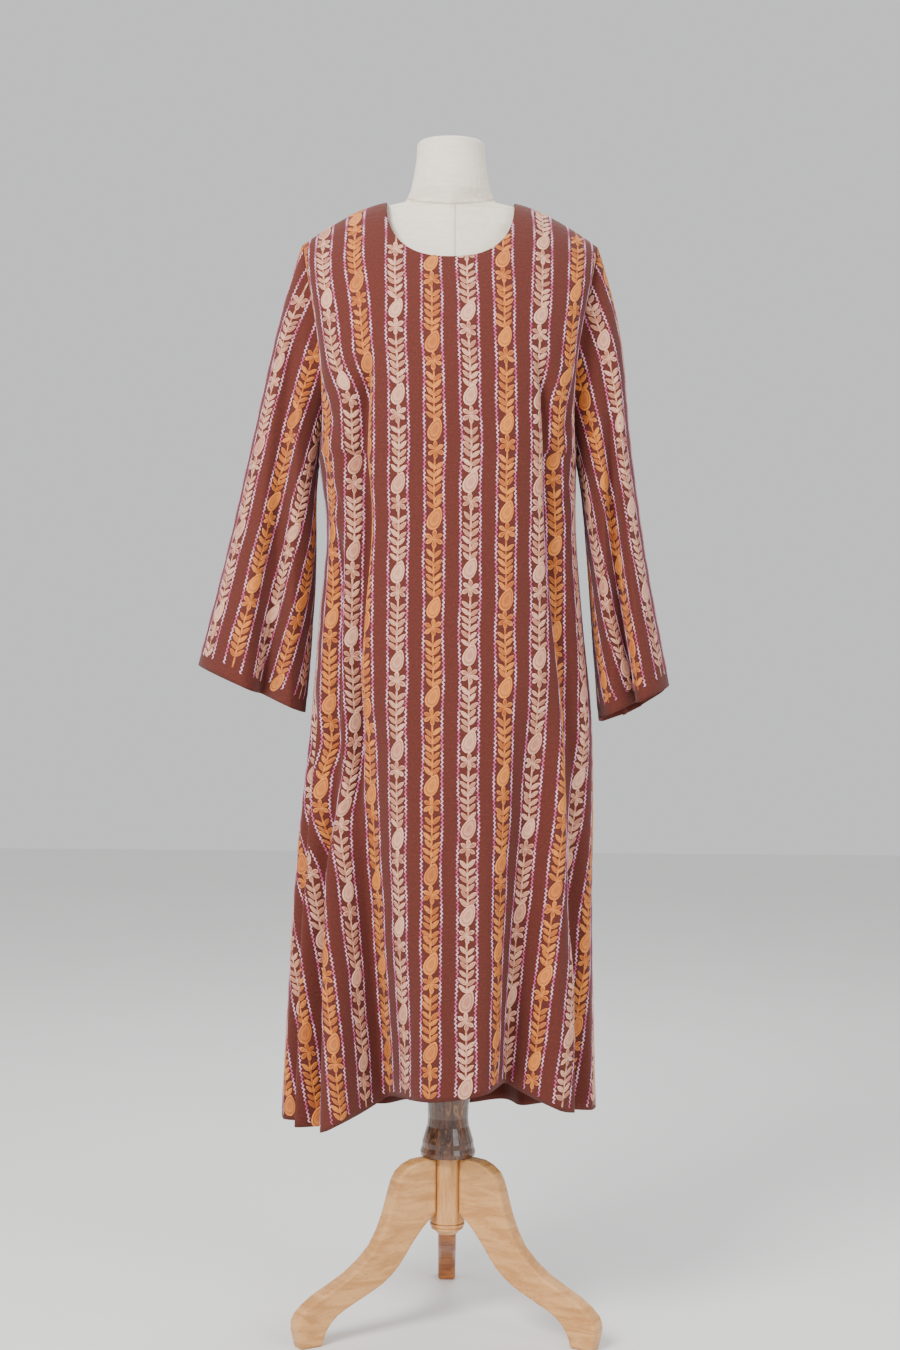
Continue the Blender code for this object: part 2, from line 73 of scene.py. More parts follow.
class Look:
    """A material in the making: one Principled shader and the nodes that feed it."""

    def __init__(self, name, roughness, **fixed):
        self.material = bpy.data.materials.new(name)
        self.material.use_nodes = True
        self.tree = self.material.node_tree
        self.shader = self.tree.nodes["Principled BSDF"]
        self.shader.inputs["Roughness"].default_value = roughness
        for socket, value in fixed.items():
            self.shader.inputs[socket.replace("_", " ").title()].default_value = value

    def maths(self, operation, a, b=0.0):
        return self.node("ShaderNodeMath", {"operation": operation}, {0: a, 1: b}, "Value")

    def node(self, kind, settings, sockets, out):
        """One output of a new node, after its settings and the values or links of its sockets."""
        made = self.tree.nodes.new(kind)
        for name, setting in settings.items():
            if name == "stops":
                while len(made.color_ramp.elements) < len(setting):
                    made.color_ramp.elements.new(0.5)
                for stop, (place, colour) in zip(made.color_ramp.elements, setting):
                    stop.position = place
                    stop.color = (*colour, 1.0)
            else:
                setattr(made, name, setting)
        for socket, value in sockets.items():
            if isinstance(value, Value):
                self.tree.links.new(value.socket, made.inputs[socket])
            elif isinstance(value, tuple) and made.inputs[socket].type == "RGBA":
                made.inputs[socket].default_value = (*value, 1.0)
            else:
                made.inputs[socket].default_value = value
        return Value(self, made.outputs[out])

    def feed(self, socket, value):
        self.tree.links.new(value.socket, self.shader.inputs[socket])

    def place(self):
        return self.node("ShaderNodeTexCoord", {}, {}, "Object")

    def stretched(self, vector, x, y, z):
        settings = {"operation": "MULTIPLY"}
        return self.node("ShaderNodeVectorMath", settings, {0: vector, 1: (x, y, z)}, "Vector")

    def noise(self, vector, scale, detail=2.0, distortion=0.0):
        sockets = {"Vector": vector, "Scale": scale, "Detail": detail, "Distortion": distortion}
        return self.node("ShaderNodeTexNoise", {}, sockets, "Fac")

    def waves(self, vector, scale, axis, distortion=0.0, detail_scale=1.0):
        settings = {"wave_type": "BANDS", "bands_direction": axis, "wave_profile": "SIN"}
        sockets = {"Vector": vector, "Scale": scale, "Distortion": distortion, "Detail Scale": detail_scale}
        return self.node("ShaderNodeTexWave", settings, sockets, "Fac")

    def mixed(self, share, a, b, blend="MIX"):
        settings = {"data_type": "RGBA", "blend_type": blend, "clamp_factor": True}
        return self.node("ShaderNodeMix", settings, {0: share, 6: a, 7: b}, 2)

    def between(self, value, low, high, to_low=0.0, to_high=1.0):
        sockets = {"Value": value, 1: low, 2: high, 3: to_low, 4: to_high}
        return self.node("ShaderNodeMapRange", {"interpolation_type": "SMOOTHSTEP"}, sockets, 0)

    def bump(self, height, distance, strength=1.0):
        sockets = {"Height": height, "Distance": distance, "Strength": strength}
        self.feed("Normal", self.node("ShaderNodeBump", {}, sockets, "Normal"))


def wood_look(name, pale, dark, grain_across, grain_along):
    """Wood with its grain drawn out along Z or out along a leg, under a thin varnish."""
    look = Look(name, 0.42, coat_weight=0.25, coat_roughness=0.25)
    spot = look.stretched(look.place(), *grain_across)
    rings = look.noise(spot, grain_along, 4.0, 1.2)
    pores = look.noise(look.stretched(look.place(), *[3 * k for k in grain_across]), grain_along * 4, 2.0)
    figure = look.between(rings, 0.32, 0.68)
    colour = look.mixed(figure, pale, dark)
    colour = look.mixed(look.between(pores, 0.55, 0.75, 0.0, 0.45), colour, dark, "MULTIPLY")
    look.feed("Base Color", colour)
    look.feed("Roughness", 0.36 + 0.18 * rings)
    look.bump(rings + 0.4 * pores, 0.0004, 0.6)
    return look.material


def dress_node(name, material):
    """Gives a solid of the frame its finished material."""
    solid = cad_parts[name]
    for stand_slot in solid.material_slots:
        stand_slot.material = material


PINE = (0.70, 0.36, 0.125)
PINE_GRAIN = (0.52, 0.235, 0.065)
# The back leg's darker amber and its grain are painted shade with a painted orange reflection on the same
# pine.
BACK_LEG_PAINTED_SHADE = (0.42, 0.15, 0.035)
BACK_LEG_PAINTED_SHADE_GRAIN = (0.22, 0.065, 0.015)
leg_pine = wood_look("leg_pine", PINE, PINE_GRAIN, (3.0, 3.0, 14.0), 5.0)
for leg in ("leg_left", "leg_right"):
    dress_node(leg, leg_pine)
# The back leg's wood carries painted shade and a painted orange reflection.
dress_node("leg_back", wood_look("leg_painted_shade_and_reflection", BACK_LEG_PAINTED_SHADE, BACK_LEG_PAINTED_SHADE_GRAIN, (3.0, 3.0, 14.0), 5.0))
turned_pine = wood_look("turned_pine", PINE, PINE_GRAIN, (16.0, 16.0, 1.6), 4.0)
for turned in ("hub", "hub_ring"):
    dress_node(turned, turned_pine)


# Waisted collar between the hub and the hem: a turned core in brown cellophane-like film, wound
# tight and tied off, so that it gleams and shows soft streaks down its length.
FILM = (0.125, 0.042, 0.013)
FILM_DARK = (0.045, 0.013, 0.005)
FILM_PALE = (0.36, 0.17, 0.060)
film = Look("collar_film", 0.22, coat_weight=0.7, coat_roughness=0.10)
streaks = film.noise(film.stretched(film.place(), 34.0, 34.0, 5.0), 2.0, 3.0, 1.5)
creases = film.noise(film.stretched(film.place(), 60.0, 60.0, 16.0), 1.6, 2.0, 2.5)
film_colour = film.mixed(film.between(streaks, 0.35, 0.62), FILM_DARK, FILM)
film.feed("Base Color", film.mixed(film.between(creases, 0.60, 0.74, 0.0, 0.7), film_colour, FILM_PALE))
film.feed("Roughness", 0.16 + 0.24 * creases)
film.bump(streaks + 0.7 * creases, 0.0020, 0.8)
dress_node("collar", film.material)

steel = Look("post_steel", 0.35, metallic=1.0)
brushing = steel.noise(steel.stretched(steel.place(), 90.0, 90.0, 2.0), 3.0, 2.0)
steel.feed("Base Color", steel.mixed(brushing, (0.50, 0.50, 0.51), (0.66, 0.66, 0.67)))
steel.feed("Roughness", 0.28 + 0.20 * brushing)
dress_node("pole", steel.material)


# The dress form: a padded torso in ivory linen, pulled smooth over its shoulders and sewn round
# the root of the neck and down the middle of the front with a paler thread.
LINEN = (0.94, 0.830, 0.690)
LINEN_SHADE = (0.86, 0.750, 0.615)
LINEN_THREAD = (0.60, 0.50, 0.38)
NECK_SEAM_Z = 1.587
NECK_SEAM_SLOPE = 0.39
AXIS_X = 0.0255
AXIS_Y = -0.0405
SEAM_CORE = 0.0006
SEAM_EDGE = 0.0019
linen = Look("form_linen", 0.88, sheen_weight=0.25, sheen_roughness=0.5)
linen_place = linen.place()
linen_warp = linen.waves(linen_place, 420.0, "X", 2.0, 3.0)
linen_weft = linen.waves(linen_place, 420.0, "Z", 2.0, 3.0)
slubs = linen.noise(linen.stretched(linen_place, 60.0, 60.0, 420.0), 1.0, 3.0)
linen_tone = linen.between(slubs, 0.35, 0.72)
linen_x = linen.node("ShaderNodeSeparateXYZ", {}, {0: linen_place}, 0)
linen_y = linen.node("ShaderNodeSeparateXYZ", {}, {0: linen_place}, 1)
linen_z = linen.node("ShaderNodeSeparateXYZ", {}, {0: linen_place}, 2)
neck_seam_off = linen_z - (NECK_SEAM_Z + NECK_SEAM_SLOPE * (linen_y - AXIS_Y))
front_seam_off = linen_x - AXIS_X
neck_seam = linen.between(linen.maths("ABSOLUTE", neck_seam_off), SEAM_CORE, SEAM_EDGE, 1.0, 0.0)
front_seam = linen.between(linen.maths("ABSOLUTE", front_seam_off), SEAM_CORE, SEAM_EDGE, 1.0, 0.0)
below_neck = linen.between(neck_seam_off, -0.001, 0.001, 1.0, 0.0)
before = linen.between(linen_y, AXIS_Y - 0.01, AXIS_Y, 1.0, 0.0)
seams = linen.maths("MAXIMUM", neck_seam, front_seam * below_neck * before)
linen_colour = linen.mixed(linen_tone, LINEN, LINEN_SHADE)
linen.feed("Base Color", linen.mixed(0.7 * seams, linen_colour, LINEN_THREAD))
linen.bump(linen_warp * linen_weft + 0.8 * slubs - 3.0 * seams, 0.0005, 0.55)
dress_node("form_torso", linen.material)


# The abaya's body: front and back cut from one striped cotton width each, joined at the shoulders
# and the sides, wide enough to fall from the bust in deep soft folds. The walls below are thin
# shells on the solids' form, from the same sizes, with the smaller creases added.
CENTRE_X = -0.007
NECK_POINT_Z = 1.580
NECK_HALF = 0.089
NECK_ROUND = 0.8
SHOULDER_HALF = 0.207
SHOULDER_DROP = 0.060
SHOULDER_BEND = 1.4
UNDERARM_Z = 1.217
SHOULDER_ROUND = 1.8
ARMHOLE_SCOOP = 0.014
ARMHOLE_DEPTH = 0.046
SECTION_ROUND = 0.833
NECK_SPAN = 0.36
ROW_CROWDING = 1.6
SEAM = 0.0003
SHELL = 0.0013
PANELS = {
    "front": {"way": -1, "neck_dip": 0.0915, "bust": 0.012, "middle_round": 1.8},
    "back": {"way": 1, "neck_dip": 0.016, "bust": 0.012, "middle_round": 3.0},
}

# Rings of the body's cloth without its folds, from the underarm to the hem
RING_COLUMNS = ("z", "left", "right", "front", "back")
RINGS = (
    (1.217, -0.189, 0.172, 0.142, 0.112),
    (1.130, -0.177, 0.172, 0.142, 0.112),
    (1.000, -0.186, 0.182, 0.143, 0.118),
    (0.850, -0.197, 0.197, 0.147, 0.125),
    (0.720, -0.210, 0.200, 0.151, 0.130),
    (0.580, -0.221, 0.200, 0.155, 0.135),
    (0.450, -0.227, 0.203, 0.159, 0.140),
    (0.290, -0.235, 0.209, 0.163, 0.146),
)

# Height of the hem by the angle round the section, 0 at the middle and 90 at the right side
HEM_COLUMNS = ("angle", "front", "back")
HEM = (
    (-90, 0.300, 0.300),
    (-60, 0.294, 0.291),
    (-43, 0.296, 0.286),
    (-24, 0.331, 0.288),
    (0, 0.345, 0.286),
    (24, 0.357, 0.289),
    (45, 0.326, 0.292),
    (62, 0.319, 0.301),
    (90, 0.311, 0.311),
)

# Folds: angle of each trough's line at its start and its foot, its heights there, its depth at
# both, and how wide it is to the left and to the right of the line, in degrees
FOLD_START = 0.10
FOLD_END = 0.14
FOLD_COLUMNS = ("angle_top", "angle_foot", "z_top", "z_foot", "depth_top", "depth_foot", "left", "right")
FOLDS = {
    "front": (
        (-40, -45, 1.38, 0.78, 0.026, 0.030, 14, 10),
        (46, 58, 1.38, 0.62, 0.020, 0.014, 10, 14),
        (-42, -25.5, 0.94, 0.30, 0.008, 0.098, 13, 28),
        (34, 27, 0.92, 0.30, 0.006, 0.080, 22, 15),
        (-62, -53, 1.14, 0.26, 0.014, 0.046, 9, 10),
        (-76, -69, 0.90, 0.26, 0.010, 0.034, 8, 8),
        (66, 62, 0.86, 0.26, 0.008, 0.026, 10, 10),
        (2, 4, 0.80, 0.26, 0.001, 0.014, 10, 10),
    ),
    "back": (
        (-44, -50, 1.30, 0.26, 0.008, 0.030, 13, 14),
        (-20, -22, 0.92, 0.26, 0.003, 0.040, 15, 14),
        (6, 4, 1.16, 0.26, 0.004, 0.028, 12, 14),
        (30, 32, 0.86, 0.26, 0.003, 0.044, 14, 15),
        (52, 60, 1.28, 0.26, 0.009, 0.024, 12, 13),
    ),
}

# Small creases: where each starts and ends as an angle and a height, its depth, which is a ridge
# where it is negative, and its half-width in metres
CREASE_COLUMNS = ("angle_a", "z_a", "angle_b", "z_b", "depth", "half_width")
CREASES = {
    "front": (
        (-78, 1.30, -48, 1.22, 0.0040, 0.012),
        (-74, 1.21, -50, 1.11, 0.0035, 0.011),
        (-80, 1.36, -55, 1.33, 0.0022, 0.010),
        (76, 1.30, 50, 1.21, 0.0040, 0.012),
        (74, 1.20, 54, 1.12, 0.0030, 0.011),
        (80, 1.37, 58, 1.35, 0.0022, 0.010),
        (-30, 1.10, -14, 0.98, 0.0016, 0.014),
        (12, 1.07, 26, 0.94, 0.0016, 0.014),
        (-12, 0.90, -4, 0.70, 0.0020, 0.013),
        (10, 0.86, 14, 0.66, 0.0020, 0.013),
        (-64, 0.86, -50, 0.76, 0.0032, 0.011),
        (-72, 0.70, -60, 0.58, 0.0030, 0.011),
        (70, 0.92, 58, 0.80, 0.0030, 0.011),
        (74, 0.66, 66, 0.52, 0.0028, 0.011),
        (-8, 0.60, -14, 0.36, 0.0024, 0.010),
        (38, 0.60, 42, 0.34, 0.0026, 0.010),
        (-40, 0.62, -36, 0.34, -0.0026, 0.010),
        (14, 0.56, 16, 0.38, -0.0022, 0.010),
    ),
    "back": (
        (-78, 1.31, -46, 1.24, 0.0040, 0.012),
        (-74, 1.20, -48, 1.10, 0.0035, 0.011),
        (77, 1.31, 48, 1.23, 0.0040, 0.012),
        (72, 1.19, 50, 1.10, 0.0032, 0.011),
        (-24, 1.34, -8, 1.20, 0.0022, 0.014),
        (22, 1.33, 10, 1.18, 0.0022, 0.014),
        (-36, 1.00, -28, 0.86, 0.0024, 0.012),
        (20, 0.98, 16, 0.82, 0.0022, 0.012),
        (-66, 0.84, -58, 0.66, 0.0030, 0.011),
        (68, 0.88, 62, 0.72, 0.0030, 0.011),
        (-10, 0.70, -8, 0.44, 0.0026, 0.011),
        (44, 0.62, 46, 0.36, 0.0026, 0.010),
        (18, 0.56, 17, 0.36, -0.0024, 0.010),
    ),
}
# Cloth round the body for one degree of the section's angle, for the creases' slant
METRES_A_DEGREE = 0.0034


def smooth_read(where, table, columns, names):
    """Columns of a table at some places along its first column, on a smooth curve."""
    values = np.array(table, float)
    values = values[np.argsort(values[:, 0])]
    stops = values[:, 0]
    where = np.clip(where, stops[0], stops[-1])
    k = np.clip(np.searchsorted(stops, where, side="right") - 1, 0, len(stops) - 2)
    span = stops[k + 1] - stops[k]
    t = (where - stops[k]) / span
    read = []
    for name in names:
        level = values[:, columns.index(name)]
        slope = np.gradient(level, stops)
        read.append(
            level[k] * (1 + 2 * t) * (1 - t) ** 2
            + level[k + 1] * t**2 * (3 - 2 * t)
            + span * (slope[k] * t * (1 - t) ** 2 - slope[k + 1] * t**2 * (1 - t))
        )
    return read


def soft_step(t):
    t = np.clip(t, 0, 1)
    return t * t * (3 - 2 * t)


def power(value, share):
    """A signed power."""
    return np.sign(value) * np.abs(value) ** share


def fold_depth(panel, angle, z):
    """How far the folds draw the cloth in at an angle round the section and a height."""
    depth = np.zeros(np.broadcast(angle, z).shape)
    for row in FOLDS[panel]:
        fold = dict(zip(FOLD_COLUMNS, row))
        down = np.clip((fold["z_top"] - z) / (fold["z_top"] - fold["z_foot"]), 0, 1)
        line = fold["angle_top"] + (fold["angle_foot"] - fold["angle_top"]) * down
        off = angle - line
        width = np.where(off < 0, fold["left"], fold["right"])
        bump = 0.5 + 0.5 * np.cos(np.pi * np.clip(off / width, -1, 1))
        ends = soft_step((fold["z_top"] - z) / FOLD_START) * soft_step(1 + (z - fold["z_foot"]) / FOLD_END)
        depth += bump * ends * (fold["depth_top"] + (fold["depth_foot"] - fold["depth_top"]) * down)
    return depth


def crease_depth(panel, angle, z):
    """The small creases' share of the cloth's depth, each fading out towards both its ends."""
    across = angle * METRES_A_DEGREE
    depth = np.zeros(np.broadcast(angle, z).shape)
    for row in CREASES[panel]:
        crease = dict(zip(CREASE_COLUMNS, row))
        start = np.array([crease["angle_a"] * METRES_A_DEGREE, crease["z_a"]])
        run = np.array([crease["angle_b"] * METRES_A_DEGREE, crease["z_b"]]) - start
        along = ((across - start[0]) * run[0] + (z - start[1]) * run[1]) / (run @ run)
        off = ((across - start[0]) * run[1] - (z - start[1]) * run[0]) / np.linalg.norm(run)
        ends = np.sin(np.pi * np.clip(along, 0, 1)) ** 0.7
        depth += crease["depth"] * ends * np.exp(-((off / crease["half_width"]) ** 2))
    return depth


def body_section(panel, angle, z):
    """Points of the body's cloth below the underarm, at angles round the section and heights."""
    left, right, front, back = smooth_read(z, RINGS, RING_COLUMNS, RING_COLUMNS[1:])
    way = PANELS[panel]["way"]
    deep = front if way < 0 else back
    wide = np.where(angle < 0, -left, right)
    sine = np.sin(np.radians(angle))
    cosine = np.cos(np.radians(angle)).clip(0, 1)
    out_x = power(sine, 2 - SECTION_ROUND) / wide
    out_y = cosine ** (2 - SECTION_ROUND) / deep
    size = np.hypot(out_x, out_y)
    inward = fold_depth(panel, angle, z)
    x = power(sine, SECTION_ROUND) * wide - inward * out_x / size
    y = way * (cosine**SECTION_ROUND * deep - inward * out_y / size)
    return x, y


def panel_top(panel, span):
    """The neckline and the shoulder seams."""
    sizes = PANELS[panel]
    turn = np.clip(span / NECK_SPAN, -1, 1) * math.pi / 2
    out = np.clip((np.abs(span) - NECK_SPAN) / (1 - NECK_SPAN), 0, 1)
    low = np.cos(turn).clip(0, 1) ** NECK_ROUND
    half = NECK_HALF * np.abs(np.sin(turn)) ** NECK_ROUND + (SHOULDER_HALF - NECK_HALF) * out
    x = CENTRE_X + np.sign(span) * half
    z = NECK_POINT_Z - sizes["neck_dip"] * low - SHOULDER_DROP * out**SHOULDER_BEND
    return x, z


def chest_depth(panel, x, z, down):
    """How far out the cloth stands above the underarm, on one smooth form that the neck is cut from."""
    sizes = PANELS[panel]
    front, back = smooth_read(UNDERARM_Z, RINGS, RING_COLUMNS, ("front", "back"))
    middle = x[len(x) // 2]
    edge = np.where(x < middle, middle - x[0], x[-1] - middle)
    side = np.clip(np.abs(x - middle) / edge, 0, 1)
    out = np.clip((np.abs(x - CENTRE_X) - NECK_HALF) / (SHOULDER_HALF - NECK_HALF), 0, 1)
    shoulder_z = NECK_POINT_Z - SHOULDER_DROP * out**SHOULDER_BEND
    below = np.clip((shoulder_z - z) / (shoulder_z - UNDERARM_Z), 0, 1)
    near_middle = np.clip(1 - (np.abs(x - CENTRE_X) / NECK_HALF / 1.3) ** 2, 0, 1)
    rounding = SHOULDER_ROUND + (sizes["middle_round"] - SHOULDER_ROUND) * near_middle
    over = (1 - (1 - below) ** rounding) ** (1 / rounding)
    deep = front if sizes["way"] < 0 else back
    swell = np.sin(np.pi * below)
    depth = deep * (1 - side ** (2 / SECTION_ROUND)) ** (SECTION_ROUND / 2) * over
    at_armhole = ARMHOLE_DEPTH * math.sin(math.pi * down) ** 0.7 * side**4
    return depth + sizes["bust"] * swell * (1 - side**2) + at_armhole


def panel_grid(panel, spans, armhole_rows, skirt_rows):
    """Outer points of a panel: rows from the neck and shoulders to the hem, columns left to right."""
    sizes = PANELS[panel]
    angle = spans * 90
    top_x, top_z = panel_top(panel, spans)
    ring_x, _ = body_section(panel, angle, np.full_like(angle, UNDERARM_Z))
    rows = []
    for row in range(armhole_rows):
        down = (row / armhole_rows) ** ROW_CROWDING
        z = top_z + (UNDERARM_Z - top_z) * down
        x = top_x + (ring_x - top_x) * soft_step(down)
        x = x - np.sign(spans) * ARMHOLE_SCOOP * math.sin(math.pi * down) * spans**2
        y = sizes["way"] * (chest_depth(panel, x, z, down) - fold_depth(panel, angle, z) * (1 - spans**6))
        rows.append(np.stack([x, y, z], axis=-1))
    (hem,) = smooth_read(angle, HEM, HEM_COLUMNS, (panel,))
    for row in range(skirt_rows + 1):
        z = UNDERARM_Z + (hem - UNDERARM_Z) * row / skirt_rows
        x, y = body_section(panel, angle, z)
        rows.append(np.stack([x, y, z], axis=-1))
    grid = np.array(rows)
    grid[..., 1] += sizes["way"] * SEAM / 2
    return grid


TINY = 1e-12


def grid_normals(grid, outside):
    """Unit normals of a grid of points, pointing to the side that outside gives."""
    normal = np.cross(np.gradient(grid, axis=1), np.gradient(grid, axis=0)) * outside
    return normal / (np.linalg.norm(normal, axis=-1, keepdims=True) + TINY)


class FlatCloth:
    """The cut of a hung grid of cloth: where each place of the flat piece lies on the hung one."""

    def __init__(self, grid, outside, middle, level_row, shown, step=0.002):
        down = np.gradient(grid, axis=0)
        down /= np.linalg.norm(down, axis=-1, keepdims=True) + TINY
        run = np.diff(grid, axis=1)
        mean_down = (down[:, 1:] + down[:, :-1]) / 2
        width = np.linalg.norm(run - (run * mean_down).sum(-1, keepdims=True) * mean_down, axis=-1)
        a = np.concatenate([np.zeros((len(grid), 1)), np.cumsum(width, axis=1)], axis=1)
        a -= a[:, middle : middle + 1]
        normals = grid_normals(grid, outside)
        self.step = step
        self.a = np.arange(math.floor(a.min() / step), math.ceil(a.max() / step) + 1) * step
        hung = self.spread(a, grid)
        facing = self.spread(a, normals)
        covered = np.stack([np.interp(self.a, a[r], shown[r], left=0, right=0) for r in range(len(grid))])
        length = np.linalg.norm(np.diff(hung, axis=0), axis=-1)
        b = np.concatenate([np.zeros((1, len(self.a))), np.cumsum(length, axis=0)], axis=0)
        b -= b[level_row]
        self.b = np.arange(math.floor(b.min() / step), math.ceil(b.max() / step) + 1) * step
        shape = (len(self.b), len(self.a))
        self.points = np.zeros(shape + (3,))
        self.normals = np.zeros(shape + (3,))
        self.inside = np.zeros(shape, bool)
        for i in range(len(self.a)):
            for k in range(3):
                self.points[:, i, k] = np.interp(self.b, b[:, i], hung[:, i, k])
                self.normals[:, i, k] = np.interp(self.b, b[:, i], facing[:, i, k])
            cover = np.interp(self.b, b[:, i], covered[:, i])
            self.inside[:, i] = (self.b >= b[0, i]) & (self.b <= b[-1, i]) & (cover > 0.99)
        self.grid_a = a
        self.grid_b = np.stack([np.interp(a[r], self.a, b[r]) for r in range(len(grid))])
        used = np.argwhere(self.inside)
        self.flat = tuple((used.max(0) - used.min(0))[::-1] * step)
        self.area = float(self.inside.sum()) * step * step

    def spread(self, a, table):
        """Each row of a table of vectors, read again at even steps across the grain."""
        rows = range(len(table))
        return np.stack([[np.interp(self.a, a[r], table[r, :, k]) for r in rows] for k in range(3)], -1)

    def read(self, table, a, b):
        """A table's values at places of the flat piece, between its nearest four."""
        x = np.clip((a - self.a[0]) / self.step, 0, len(self.a) - 1.001)
        y = np.clip((b - self.b[0]) / self.step, 0, len(self.b) - 1.001)
        i, j = x.astype(int), y.astype(int)
        u, v = (x - i)[..., None], (y - j)[..., None]
        return (table[j, i] * (1 - u) + table[j, i + 1] * u) * (1 - v) + (
            table[j + 1, i] * (1 - u) + table[j + 1, i + 1] * u
        ) * v

    def covers(self, a, b):
        return self.read(self.inside[..., None].astype(float), a, b)[..., 0] > 0.98

    def lay(self, a, b, lift):
        """Points on the hung cloth at places of the flat piece, raised from its face."""
        return self.read(self.points, a, b) + self.read(self.normals, a, b) * np.asarray(lift)[..., None]


def cloth_shell(name, grid, places, material, outside):
    """A thin shell on a grid of points, with the place of each point on the flat cut."""
    rows, columns = grid.shape[:2]
    faces = []
    for i in range(rows - 1):
        for j in range(columns - 1):
            a, b = i * columns + j, (i + 1) * columns + j
            faces.append((a, b, b + 1, a + 1) if outside < 0 else (a, a + 1, b + 1, b))
    mesh = bpy.data.meshes.new(name)
    mesh.from_pydata([tuple(p) for p in grid.reshape(-1, 3)], [], faces)
    cut = mesh.attributes.new("cut", "FLOAT_VECTOR", "POINT")
    cut.data.foreach_set("vector", places.reshape(-1))
    mesh.materials.append(material)
    mesh.shade_smooth()
    piece = bpy.data.objects.new(name, mesh)
    bpy.context.scene.collection.objects.link(piece)
    wall = piece.modifiers.new("cloth_wall", "SOLIDIFY")
    wall.thickness = SHELL
    wall.offset = -1.0
    return piece


COTTON = (0.112, 0.0158, 0.0080)
COTTON_WORN = (0.134, 0.0205, 0.0110)
COTTON_DEEP = (0.080, 0.0105, 0.0052)
cotton = Look("abaya_cotton", 0.92, sheen_weight=0.08, sheen_roughness=0.45)
cut_place = cotton.node("ShaderNodeAttribute", {"attribute_name": "cut"}, {}, "Vector")
warp = cotton.waves(cut_place, 260.0, "X", 1.2, 2.0)
weft = cotton.waves(cut_place, 260.0, "Y", 1.2, 2.0)
threads = cotton.noise(cotton.stretched(cut_place, 260.0, 900.0, 1.0), 1.0, 2.0)
mottle = cotton.noise(cut_place, 330.0, 3.0)
puckers = cotton.noise(cotton.stretched(cut_place, 34.0, 150.0, 1.0), 1.0, 2.0, 0.6)
cotton_colour = cotton.mixed(cotton.between(threads, 0.30, 0.75), COTTON_DEEP, COTTON)
cotton_colour = cotton.mixed(cotton.between(mottle, 0.42, 0.75, 0.0, 0.75), cotton_colour, COTTON_WORN)
cotton.feed("Base Color", cotton_colour)
cotton.bump(warp * weft * 0.25 + 0.30 * threads + 1.3 * puckers, 0.0011, 0.75)

ARMHOLE_ROWS = 60
SKIRT_ROWS = 110
BODY_COLUMNS = 168
body_spans = np.linspace(-1, 1, BODY_COLUMNS + 1)
body_shells = {}
body_flats = {}
plain_grids = {}
for panel, sizes in PANELS.items():
    grid = panel_grid(panel, body_spans, ARMHOLE_ROWS, SKIRT_ROWS)
    plain_grids[panel] = grid.copy()
    normals = grid_normals(grid, sizes["way"])
    edges = (1 - body_spans**8) * np.clip(np.arange(len(grid)) / 6, 0, 1)[:, None]
    depth = crease_depth(panel, body_spans * 90 + 0 * grid[..., 2], grid[..., 2]) * edges
    grid = grid - normals * depth[..., None] + np.array([AXIS_X, AXIS_Y, 0])
    flat = FlatCloth(grid, sizes["way"], BODY_COLUMNS // 2, ARMHOLE_ROWS, np.ones(grid.shape[:2]))
    body_flats[panel] = flat
    places = np.stack([flat.grid_a, flat.grid_b, 0 * flat.grid_a], -1)
    body_shells[panel] = cloth_shell(panel + "_cloth", grid, places, cotton.material, sizes["way"])


# Two bell sleeves, each one piece with a seam under the arm, set into the armholes and hanging
# limp with deep lengthwise grooves. They are cut from the same striped cotton along the arm.
SLEEVE_COLUMNS = ("share", "outer_x", "outer_z", "inner_x", "inner_z", "front", "back")
SLEEVES = {
    "left": (
        (0.20, -0.2460, 1.400, -0.1905, 1.150, 0.058, 0.052),
        (0.45, -0.2790, 1.255, -0.1920, 1.060, 0.064, 0.058),
        (0.72, -0.3150, 1.095, -0.1975, 0.965, 0.070, 0.064),
        (1.00, -0.3570, 0.928, -0.2060, 0.862, 0.074, 0.068),
    ),
    "right": (
        (0.20, 0.2300, 1.395, 0.1805, 1.150, 0.060, 0.056),
        (0.45, 0.2470, 1.245, 0.1905, 1.060, 0.070, 0.064),
        (0.72, 0.2720, 1.078, 0.1995, 0.955, 0.078, 0.072),
        (1.00, 0.3060, 0.905, 0.2080, 0.858, 0.084, 0.080),
    ),
}
GROOVE_COLUMNS = ("angle_top", "angle_cuff", "depth_top", "depth_cuff", "half_width")
GROOVES = {
    "left": (
        (66, 112, 0.004, 0.046, 27),
        (232, 248, 0.003, 0.030, 28),
        (300, 305, 0.002, 0.022, 24),
    ),
    "right": (
        (70, 109, 0.005, 0.050, 27),
        (228, 240, 0.003, 0.032, 28),
        (296, 308, 0.002, 0.022, 24),
    ),
}
CUFF_BACK_DROP = {"left": 0.004, "right": 0.018}
SLEEVE_START = 0.16
SLEEVE_STAND_OFF = 0.004
SLEEVE_ROWS = 90


def armhole_ring(grids, side, rows):
    """The armhole's points: shoulder tip, down the front panel, underarm, up the back panel."""
    column = 0 if side == "left" else -1
    down = grids["front"][: rows + 1, column]
    up = grids["back"][1:rows, column][::-1]
    ring = np.concatenate([down, up])
    ring[:, 0] += SEAM * (-1 if side == "left" else 1)
    return ring


